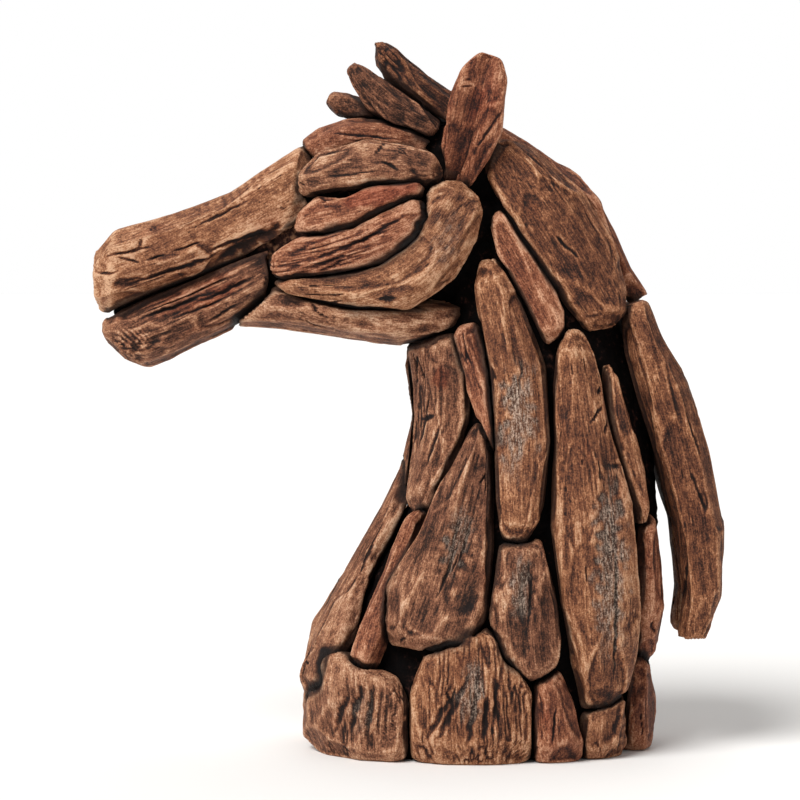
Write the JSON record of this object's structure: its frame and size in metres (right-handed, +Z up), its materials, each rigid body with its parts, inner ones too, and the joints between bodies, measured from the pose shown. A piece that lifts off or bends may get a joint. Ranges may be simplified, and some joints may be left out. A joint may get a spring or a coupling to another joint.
{
  "type": "wooden horse head sculpture",
  "caption": "Free-standing horse head and neck built up from weathered lengths of wood on a dark inner body, cut off flat below to stand on a table or shelf.",
  "frame": {"origin": "middle of the bounding box at floor level, on the flat underside", "axes": "+Z up, the horse looks along -X, its left side faces -Y"},
  "size_m": [0.437, 0.192, 0.4939],
  "materials": {
    "teak": "oiled, weathered, chisel-marked",
    "teak_pale": "dry, weathered, chisel-marked",
    "teak_red": "red-brown stained, weathered",
    "core": "dark stained, rough"
  },
  "bodies": {
    "root": {"core": "core", "ear_left": "teak_red", "ear_right": "teak_red", "brow_left": "teak_pale", "brow_right": "teak_pale", "eye_left": "teak_red", "eye_right": "teak_red", "cheekbone_left": "teak_red", "cheekbone_right": "teak_red", "cheek_left": "teak", "cheek_right": "teak", "nose": "teak", "chin": "teak_pale", "jaw": "teak_pale", "forehead": "teak_red", "forelock_middle": "teak_pale", "forelock_top": "teak", "forelock_low": "teak_pale", "mane_crest_left": "teak", "mane_crest_right": "teak", "mane_ridge": "teak_red", "mane_back_left": "teak", "mane_back_right": "teak", "neck_long_left": "teak", "neck_long_right": "teak", "neck_narrow_left": "teak_red", "neck_narrow_right": "teak_red", "neck_short_left": "teak_red", "neck_short_right": "teak_red", "throat_left": "teak_pale", "throat_right": "teak_pale", "breast": "teak", "chest_edge_left": "teak_pale", "chest_edge_right": "teak_pale", "chest_slim_left": "teak_red", "chest_slim_right": "teak_red", "chest_broad_left": "teak_pale", "chest_broad_right": "teak_pale", "shoulder_long_left": "teak", "shoulder_long_right": "teak", "shoulder_small_left": "teak_pale", "shoulder_small_right": "teak_pale", "shoulder_thin_left": "teak", "shoulder_thin_right": "teak", "shoulder_end_left": "teak_red", "shoulder_end_right": "teak_red", "base_front_left": "teak_pale", "base_front_right": "teak_pale", "base_middle_left": "teak", "base_middle_right": "teak", "base_small_left": "teak_red", "base_small_right": "teak_red", "base_back_left": "teak", "base_back_right": "teak", "heel": "teak_red"}
  },
  "joints": []
}
